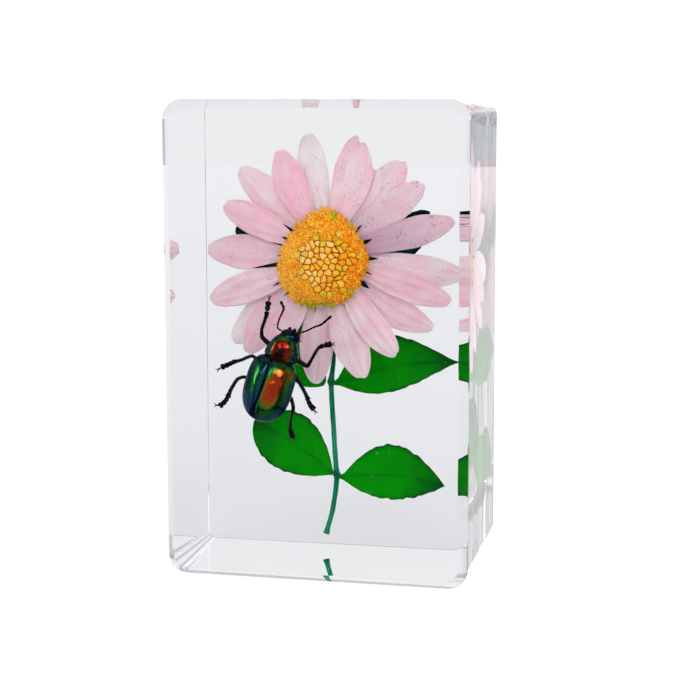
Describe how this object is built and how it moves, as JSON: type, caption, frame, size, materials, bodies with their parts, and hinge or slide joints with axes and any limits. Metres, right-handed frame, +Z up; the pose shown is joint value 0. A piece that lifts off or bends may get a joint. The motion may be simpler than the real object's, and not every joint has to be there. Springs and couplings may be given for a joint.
{
  "type": "insect in resin block",
  "caption": "Clear upright resin block, a paperweight or specimen display, with a beetle sealed in front of a pressed daisy and its leafy stem.",
  "frame": {"origin": "middle of the base's footprint, on the surface it stands on", "axes": "+Z up, +Y from the front face with the beetle towards the back, +X to the right seen from the front"},
  "size_m": [0.047, 0.03, 0.073],
  "materials": {
    "clear_resin": "polished, clear",
    "florets": "matt, granular",
    "petal": "matt, thin and translucent",
    "calyx": "matt",
    "stem": "satin",
    "leaf": "satin, veined",
    "beetle_shell": "iridescent, glossy"
  },
  "bodies": {
    "root": {"resin_front_half": "clear_resin", "resin_back_half": "clear_resin", "flower_disc": "florets", "petal_01": "petal", "petal_02": "petal", "petal_03": "petal", "petal_04": "petal", "petal_05": "petal", "petal_06": "petal", "petal_07": "petal", "petal_08": "petal", "petal_09": "petal", "petal_10": "petal", "petal_11": "petal", "petal_12": "petal", "petal_13": "petal", "petal_14": "petal", "petal_15": "petal", "petal_16": "petal", "petal_17": "petal", "petal_18": "petal", "petal_19": "petal", "petal_20": "petal", "calyx": "calyx", "stem": "stem", "leaf_upper_right": "leaf", "leaf_upper_left": "leaf", "leaf_lower_right": "leaf", "leaf_lower_left": "leaf", "leaf_behind_right": "leaf", "leaf_behind_left": "leaf", "beetle": "beetle_shell"}
  },
  "joints": []
}
